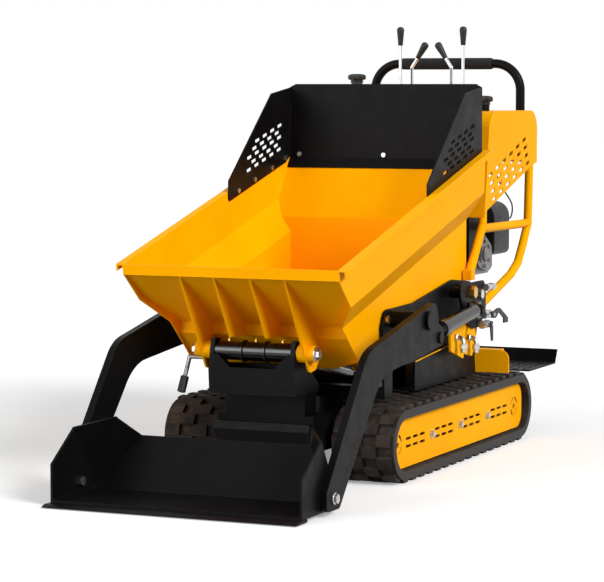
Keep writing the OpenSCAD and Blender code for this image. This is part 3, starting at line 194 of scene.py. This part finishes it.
finishes = {
    "yellow_paint": painted("yellow_powder_coat", srgb(255, 176, 0), srgb(251, 167, 0), srgb(255, 200, 64),
                            0.40, 0.02),
    "black_paint": painted("black_powder_coat", srgb(11, 10, 11), srgb(16, 15, 16), srgb(52, 50, 52),
                           0.38, 0.06),
    "track_rubber": rubber("track_rubber", srgb(20, 18, 18), srgb(58, 49, 43), srgb(96, 76, 62)),
    "zinc_steel": metal("zinc_plate", srgb(206, 207, 210), srgb(168, 168, 170), 0.24, 500.0),
    "chrome": metal("chrome", srgb(228, 229, 232), srgb(205, 206, 210), 0.07, 700.0),
    "brass": metal("yellow_zinc", srgb(214, 176, 92), srgb(180, 138, 62), 0.26, 500.0),
    "cast_metal": metal("cast_metal", srgb(150, 150, 152), srgb(104, 103, 102), 0.42, 260.0),
    "black_plastic": soft("black_plastic", srgb(24, 24, 25), srgb(38, 37, 37), 0.48, 0.5, 620.0, 0.12),
    "foam_grip": soft("foam_grip", srgb(22, 22, 23), srgb(36, 36, 36), 0.92, 0.6, 900.0, 0.5),
    "cable_sheath": soft("cable_sheath", srgb(20, 20, 21), srgb(32, 32, 32), 0.5, 0.4, 500.0, 0.1),
}

# Wet-looking enamel on the cylinders and the hinge tube, worn steel on the locking pin
gloss = painted("black_enamel", srgb(9, 9, 10), srgb(12, 12, 13), srgb(40, 40, 42), 0.16, 0.5)
SPECIAL = {name: gloss for name in ("loader_barrel_left", "loader_barrel_right", "hinge_tube", "tip_barrel")}
SPECIAL["lock_pin"] = metal("worn_steel", srgb(150, 148, 146), srgb(96, 92, 90), 0.34, 400.0)

# Every CAD node takes its slot's finish, and visible sheet edges get a small bevel
slot_of = {row["node"]: row["material_slot"] for row in frame["record"]["subparts"]}
EDGE = {
    "skip_tub": 0.0016, "skip_ribs": 0.0016, "skip_extension": 0.0012, "console_shell": 0.0012,
    "shovel_pan": 0.0016, "cutting_edge": 0.0014, "loader_arm_left": 0.0025, "loader_arm_right": 0.0025,
    "track_left": 0.0022, "track_right": 0.0022, "track_cover_left": 0.0016,
    "track_cover_right": 0.0016, "front_tower": 0.0018, "subframe": 0.0018, "body_panels": 0.0014,
    "rear_step": 0.0012, "chassis_frame": 0.0018, "hinge_tube": 0.0008, "engine_block": 0.003,
    "engine_cowl": 0.004, "fuel_tank": 0.006, "hydraulic_tank": 0.003, "muffler": 0.003,
    "control_valve": 0.0015, "cover_bolts": 0.0006, "extension_bolts": 0.0005, "shovel_bolts": 0.0008,
    "valve_bodies": 0.0007, "brass_fittings": 0.0007, "hinge_pin": 0.0008, "valve_handle_upper": 0.001,
    "valve_handle_lower": 0.001, "loader_barrel_left": 0.0008, "loader_barrel_right": 0.0008,
    "loader_rod_left": 0.0006, "loader_rod_right": 0.0006,
}
PLAIN_EDGE = 0.0008

# Nodes of folded sheet or block tread, whose shallow folds stay crisp
SHEET = ("skip_tub", "skip_extension", "console_shell", "shovel_pan", "cutting_edge", "track_cover_left",
         "track_cover_right", "front_tower", "subframe", "body_panels", "rear_step", "chassis_frame",
         "track_left", "track_right")


def crease(name, limit):
    """Node group that keeps every fold steeper than the limit crisp in shading."""
    group = bpy.data.node_groups.new(name, "GeometryNodeTree")
    group.interface.new_socket("Geometry", in_out="INPUT", socket_type="NodeSocketGeometry")
    group.interface.new_socket("Geometry", in_out="OUTPUT", socket_type="NodeSocketGeometry")
    start = group.nodes.new("NodeGroupInput")
    end = group.nodes.new("NodeGroupOutput")
    angle = group.nodes.new("GeometryNodeInputMeshEdgeAngle")
    steep = group.nodes.new("FunctionNodeCompare")
    steep.data_type = "FLOAT"
    steep.operation = "GREATER_THAN"
    steep.inputs["B"].default_value = math.radians(limit)
    shade = group.nodes.new("GeometryNodeSetShadeSmooth")
    shade.domain = "EDGE"
    shade.inputs["Shade Smooth"].default_value = False
    group.links.new(angle.outputs["Unsigned Angle"], steep.inputs["A"])
    group.links.new(steep.outputs["Result"], shade.inputs["Selection"])
    group.links.new(start.outputs[0], shade.inputs["Geometry"])
    group.links.new(shade.outputs[0], end.inputs[0])
    return group


SHEET_FOLD = 14
ROUND_FOLD = 32
crease_sheet = crease("crease_sheet", SHEET_FOLD)
crease_round = crease("crease_round", ROUND_FOLD)


def soften(piece, width):
    """Joins split corners, merges flat triangles and rounds sharp edges; the mesh itself stays."""
    weld = piece.modifiers.new("weld", "WELD")
    weld.merge_threshold = 0.00002
    flat = piece.modifiers.new("flat", "DECIMATE")
    flat.decimate_type = "DISSOLVE"
    flat.angle_limit = math.radians(0.4)
    folds = piece.modifiers.new("folds", "NODES")
    folds.node_group = crease_sheet if piece.name in SHEET else crease_round
    bevel = piece.modifiers.new("edge", "BEVEL")
    bevel.width = width
    bevel.segments = 2
    bevel.limit_method = "ANGLE"
    bevel.angle_limit = math.radians(ROUND_FOLD)
    bevel.use_clamp_overlap = True
    bevel.harden_normals = True


for name, node in nodes.items():
    node.data.materials.clear()
    node.data.materials.append(SPECIAL.get(name, finishes[slot_of[name]]))
    for polygon in node.data.polygons:
        polygon.use_smooth = True
    soften(node, EDGE.get(name, PLAIN_EDGE))

# Mesh helpers for the pieces that the solids leave plain; millimetres from the middle of the tracks
SHIFT = 160.5


def at(x, y, z):
    """Place in metres of a point given in the part's own millimetres."""
    return Vector((x, y + SHIFT, z)) / 1000.0


def across(way):
    """Two unit vectors square to a direction."""
    helper = Vector((0, 0, 1)) if abs(way.z) < 0.9 else Vector((1, 0, 0))
    side = way.cross(helper).normalized()
    return side, way.cross(side).normalized()


def ring(centre, way, radius, count, lobes=0, depth=0.0):
    """Points round a centre, square to the way, with waves in the radius where there are lobes."""
    side, over = across(way)
    points = []
    for k in range(count):
        turn = 2 * math.pi * k / count
        r = radius * (1 + depth * math.cos(lobes * turn))
        points.append(centre + side * (r * math.cos(turn)) + over * (r * math.sin(turn)))
    return points


def skin(rings):
    """Points and faces of a closed skin over rings of the same count."""
    count = len(rings[0])
    points = [p for r in rings for p in r]
    faces = [list(range(count))[::-1], list(range(len(points) - count, len(points)))]
    for i in range(len(rings) - 1):
        for k in range(count):
            a = i * count + k
            b = i * count + (k + 1) % count
            faces.append((a, b, b + count, a + count))
    return points, faces


def piece(name, parts, slot, body, stands_for=(), sharp=40.0):
    """One mesh object made of several skins, riding on a body."""
    points, faces = [], []
    for more_points, more_faces in parts:
        base = len(points)
        points += more_points
        faces += [[base + i for i in face] for face in more_faces]
    mesh = bpy.data.meshes.new(name)
    mesh.from_pydata(points, [], faces)
    shape = bmesh.new()
    shape.from_mesh(mesh)
    bmesh.ops.recalc_face_normals(shape, faces=shape.faces)
    for edge in shape.edges:
        edge.smooth = not edge.is_manifold or edge.calc_face_angle(0.0) < math.radians(sharp)
    for face in shape.faces:
        face.smooth = True
    shape.to_mesh(mesh)
    shape.free()
    mesh.materials.append(finishes[slot])
    obj = bpy.data.objects.new(name, mesh)
    scene.collection.objects.link(obj)
    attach(obj, body)
    if stands_for:
        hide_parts(*stands_for)
    return obj


def lathe(start, way, profile, count=28):
    """Turned skin: rows of [distance along the way, radius] in millimetres."""
    way = way.normalized()
    return skin([ring(start + way * (h / 1000.0), way, r / 1000.0, count) for h, r in profile])


def bead(start, end, radius, pitch=4.0):
    """Weld bead: a rippled rod whose waves are the drops of the weld."""
    way = end - start
    length = way.length * 1000.0
    steps = max(6, int(length / pitch) * 4)
    rings = []
    for i in range(steps + 1):
        swell = radius * (0.86 + 0.14 * abs(math.sin(math.pi * i / 4.0)))
        if i in (0, steps):
            swell *= 0.4
        rings.append(ring(start + way * (i / steps), way.normalized(), swell / 1000.0, 8))
    return skin(rings)


def bent_tube(points, radius, count=16):
    """Round tube through points, its rings halfway between the two legs at each point."""
    rings = []
    for i, p in enumerate(points):
        way = (points[min(i + 1, len(points) - 1)] - points[max(i - 1, 0)]).normalized()
        rings.append(ring(p, way, radius / 1000.0, count))
    return skin(rings)


# Lever knobs: moulded drops over the ends of the control levers
KNOB = [(-1.0, 6.4), (0.0, 7.2), (3.0, 7.6), (16.0, 8.6), (30.0, 10.0), (40.0, 11.0), (46.0, 11.35),
        (50.0, 10.9), (53.5, 9.0), (55.6, 6.2), (56.6, 2.6), (56.8, 0.3)]
LEVER_Y = 591.0
OUTER_X, OUTER_Z = 103, 1190
INNER_FOOT = (46, 1150)
INNER_TIP = (24, 1186)
SIDES = (("left", -1), ("right", 1))
for side, sign in SIDES:
    foot = at(sign * OUTER_X, LEVER_Y, OUTER_Z)
    drop = lathe(foot, Vector((0, 0, 1)), KNOB)
    piece("knob_outer_" + side, [drop], "black_plastic", "lever_outer_" + side)
    foot = at(sign * INNER_FOOT[0], LEVER_Y, INNER_FOOT[1])
    tip = at(sign * INNER_TIP[0], LEVER_Y, INNER_TIP[1])
    inner = [(h * 0.98, r) for h, r in KNOB]
    piece("knob_inner_" + side, [lathe(foot, tip - foot, inner)], "black_plastic", "lever_inner_" + side)

# Star caps on the two filler necks, with a stem, six finger lobes and a domed top
CAP = [(0.2, 19.0, 0.0), (1.2, 19.6, 0.0), (8.0, 18.6, 0.0), (9.0, 19.0, 0.02), (10.5, 22.6, 0.13),
       (12.5, 24.0, 0.15), (21.0, 24.0, 0.15), (24.0, 22.8, 0.14), (26.0, 20.0, 0.11),
       (27.4, 15.0, 0.05), (28.0, 8.0, 0.0), (28.1, 1.0, 0.0)]
CAP_LOBES = 6


def star_cap(name, foot):
    """Lobed cap in place of the plain one; rows are height, radius and depth of the lobes."""
    up = Vector((0, 0, 1))
    rings = [ring(foot + up * (h / 1000.0), up, r / 1000.0, 72, CAP_LOBES, depth) for h, r, depth in CAP]
    piece(name + "_star", [skin(rings)], "black_plastic", name, (name,))


star_cap("fuel_cap", at(-200, 474, 1074))
star_cap("tank_cap", at(215, 470, 1008))

# Sleeve grip on the handlebar, rounded at both ends
GRIP_HALF = 151.0
BAR_Y, BAR_Z = 725, 1134
GRIP = [(0.0, 14.2), (0.6, 15.6), (2.4, 17.0), (6.0, 17.9), (12.0, 18.0)]
grip_rows = GRIP + [(2 * GRIP_HALF - h, r) for h, r in reversed(GRIP)]
grip_tube = lathe(at(-GRIP_HALF, BAR_Y, BAR_Z), Vector((1, 0, 0)), grip_rows, 40)
grip = piece("grip_sleeve", [grip_tube], "foam_grip", "chassis", ("handle_grip",))

# Locking pin's black sleeve
lock_bend = Vector((-214, -660, 338))
lock_drop = Vector((-8, -32, -84))
sleeve = [(-1.0, 6.6), (-0.5, 10.9), (1.5, 11.4), (8.0, 11.5), (34.0, 11.5), (42.0, 11.4), (43.6, 9.6),
          (44.4, 6.2), (44.8, 0.5)]
SLEEVE_SHARE = 0.62
sleeve_start = lock_bend + lock_drop * SLEEVE_SHARE
piece("lock_sleeve", [lathe(at(*sleeve_start), lock_drop, sleeve)], "black_plastic", "lock")

# Elbow fittings of the lift cylinders' oil lines on the yellow brackets
HEX_NUT = 6
ELBOW_X = 300
ELBOW_PLACES = ((6, 350), (112, 340))
BEND_R = 0.013


def elbow(x, y, z):
    """Nut on the bracket, a bend that turns down, and a swivel nut at its end."""
    out = Vector((1 if x > 0 else -1, 0, 0))
    back = Vector((0, -0.1, -0.99)).normalized()
    foot = at(x, y, z)
    nut = skin([ring(foot + out * (h / 1000.0), out, r / 1000.0, HEX_NUT) for h, r in
                ((0.2, 10.5), (1.0, 11.5), (8.0, 11.5), (9.0, 10.5))])
    path = [foot + out * 0.008]
    for k in range(7):
        turn = math.radians(15 * k)
        path.append(foot + out * (0.012 + BEND_R * math.sin(turn)) + back * (BEND_R * (1 - math.cos(turn))))
    path.append(path[-1] + back * 0.012)
    end = path[-1]
    swivel = skin([ring(end + back * (h / 1000.0), back, r / 1000.0, HEX_NUT) for h, r in
                   ((-7.0, 10.0), (-6.0, 11.2), (6.0, 11.2), (7.0, 10.0))])
    collar = lathe(end, back, [(6.5, 8.2), (16.0, 8.2), (17.0, 7.4), (17.4, 2.0)])
    return [nut, bent_tube(path, 7.0), swivel, collar]


for side, sign in SIDES:
    pair = [part for y, z in ELBOW_PLACES for part in elbow(sign * ELBOW_X, y, z)]
    piece("elbows_" + side, pair, "zinc_steel", "chassis", (), 30.0)

# Chequer pattern on the step: small lozenges, turned in turn to one side and the other
STEP_TOP = 195
CHEQUER_X, CHEQUER_Y = -286, 648
PITCH_X, PITCH_Y = 28.6, 29.5
COLUMNS, ROWS = 21, 8


def lozenge(x, y, z, turn):
    """Raised mark with sloping sides, its long way turned about the vertical."""
    along = Vector((math.cos(turn), math.sin(turn), 0))
    side = Vector((-along.y, along.x, 0))
    outline = ((-12.0, 0.0), (-7.0, -2.4), (0.0, -3.2), (7.0, -2.4),
               (12.0, 0.0), (7.0, 2.4), (0.0, 3.2), (-7.0, 2.4))
    rows = []
    for lift, share in ((-0.4, 1.0), (0.6, 0.94), (1.4, 0.66), (1.6, 0.3)):
        rows.append([at(x, y, z) + (along * (a * (0.4 + 0.6 * share)) + side * (b * share)) / 1000.0
                     + Vector((0, 0, lift / 1000.0)) for a, b in outline])
    return skin(rows)


lozenges = []
for i in range(COLUMNS):
    for j in range(ROWS):
        turn = math.radians(45 if (i + j) % 2 else -45)
        lozenges.append(lozenge(CHEQUER_X + PITCH_X * i, CHEQUER_Y + PITCH_Y * j, STEP_TOP, turn))
piece("step_chequer", lozenges, "black_paint", "rear_step", (), 60.0)

# Weld beads where the four ribs meet the skip's front wall
RIB_X = (-150, -52, 52, 150)
RIB_HALF = 3.4
BEAD_R = 2.0
RIB_LINE = [(-849.0, 566.5), (-656.0, 431.5), (-656.0, 404.0)]
rib_beads = []
for rib_x in RIB_X:
    for side in (-RIB_HALF, RIB_HALF):
        for (y0, z0), (y1, z1) in zip(RIB_LINE, RIB_LINE[1:]):
            rib_beads.append(bead(at(rib_x + side, y0, z0), at(rib_x + side, y1, z1), BEAD_R))
piece("weld_beads_ribs", rib_beads, "yellow_paint", "skip", (), 60.0)

# Throttle cable from the valve shelf to the engine, along the same route as its solid
CABLE = [(192, 630, 841.5), (192, 632, 822), (193, 640, 802), (194, 656, 783), (195, 678, 765),
         (196, 702, 748), (197, 728, 731), (198, 750, 717.5), (198, 768.4, 705.5), (198, 779.1, 696.5),
         (198, 784, 681), (198, 779.1, 665.5), (198, 768.4, 656.5), (198, 757, 654), (198, 738.5, 653.5)]
CABLE_D = 0.005


def smooth_path(points, steps):
    """Catmull-Rom curve through the points."""
    spots = [Vector(p) for p in points]
    spots = [2 * spots[0] - spots[1]] + spots + [2 * spots[-1] - spots[-2]]
    path = []
    for i in range(1, len(spots) - 2):
        a, b, c, d = spots[i - 1:i + 3]
        for k in range(steps):
            t = k / steps
            path.append(0.5 * (2 * b + (c - a) * t + (2 * a - 5 * b + 4 * c - d) * t * t
                               + (3 * b - a - 3 * c + d) * t * t * t))
    path.append(spots[-2])
    return path


cable_path = [at(*p) for p in smooth_path(CABLE, 2)]
cable_curve = bpy.data.curves.new("throttle_cable_sheath", "CURVE")
cable_curve.dimensions = "3D"
cable_curve.bevel_depth = CABLE_D / 2
cable_curve.bevel_resolution = 4
cable_curve.use_fill_caps = True
spline = cable_curve.splines.new("POLY")
spline.points.add(len(cable_path) - 1)
for spot, place in zip(spline.points, cable_path):
    spot.co = (*place, 1.0)
cable_curve.materials.append(finishes["cable_sheath"])
cable = bpy.data.objects.new("throttle_cable_sheath", cable_curve)
scene.collection.objects.link(cable)
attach(cable, "chassis")
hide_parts("throttle_cable")

# Pale floor and plain soft light
FLOOR_BOUNCE, FLOOR_SEEN, FLOOR_GLOW = 0.34, 0.82, 0.3
WORLD_LIGHT = 0.36
floor_mesh = bpy.data.meshes.new("floor")
reach = 40.0
floor_corners = [(-reach, -reach, 0), (reach, -reach, 0), (reach, reach, 0), (-reach, reach, 0)]
floor_mesh.from_pydata(floor_corners, [], [(0, 1, 2, 3)])
floor = bpy.data.objects.new("floor", floor_mesh)
floor.location.z = -0.0005
scene.collection.objects.link(floor)


def seen_directly(tree):
    """1 for camera, mirror and see-through rays, 0 for light that falls on the object."""
    path = tree.nodes.new("ShaderNodeLightPath")
    value = path.outputs["Is Camera Ray"]
    for key in ("Is Glossy Ray", "Is Transmission Ray"):
        most = tree.nodes.new("ShaderNodeMath")
        most.operation = "MAXIMUM"
        tree.links.new(value, most.inputs[0])
        tree.links.new(path.outputs[key], most.inputs[1])
        value = most.outputs[0]
    return value


floor_material = bpy.data.materials.new("pale_floor")
floor_material.use_nodes = True
tree = floor_material.node_tree
bsdf = tree.nodes["Principled BSDF"]
seen = seen_directly(tree)
tone = tree.nodes.new("ShaderNodeMapRange")
tree.links.new(seen, tone.inputs["Value"])
tone.inputs["To Min"].default_value = FLOOR_BOUNCE
tone.inputs["To Max"].default_value = FLOOR_SEEN
tree.links.new(tone.outputs["Result"], bsdf.inputs["Base Color"])
bsdf.inputs["Roughness"].default_value = 1.0
bsdf.inputs["Specular IOR Level"].default_value = 0.0
bsdf.inputs["Emission Color"].default_value = (1.0, 1.0, 1.0, 1.0)
glow = tree.nodes.new("ShaderNodeMath")
glow.operation = "MULTIPLY"
tree.links.new(seen, glow.inputs[0])
glow.inputs[1].default_value = FLOOR_GLOW
tree.links.new(glow.outputs[0], bsdf.inputs["Emission Strength"])
floor_mesh.materials.append(floor_material)

world = bpy.data.worlds.new("studio")
scene.world = world
world.use_nodes = True
tree = world.node_tree
background = tree.nodes["Background"]
background.inputs["Color"].default_value = (1.0, 1.0, 1.0, 1.0)
level = tree.nodes.new("ShaderNodeMapRange")
tree.links.new(seen_directly(tree), level.inputs["Value"])
level.inputs["To Min"].default_value = WORLD_LIGHT
level.inputs["To Max"].default_value = 1.0
tree.links.new(level.outputs["Result"], background.inputs["Strength"])


def lamp(name, tilt, turn, strength, spread):
    """Broad soft light from far away, tilted from straight down and turned about the vertical."""
    data = bpy.data.lights.new(name, "SUN")
    data.energy = strength
    data.angle = math.radians(spread)
    obj = bpy.data.objects.new(name, data)
    obj.rotation_euler = (math.radians(tilt), 0.0, math.radians(turn))
    scene.collection.objects.link(obj)


lamp("key", tilt=60, turn=68, strength=3.0, spread=26)
lamp("fill", tilt=78, turn=-30, strength=1.9, spread=40)
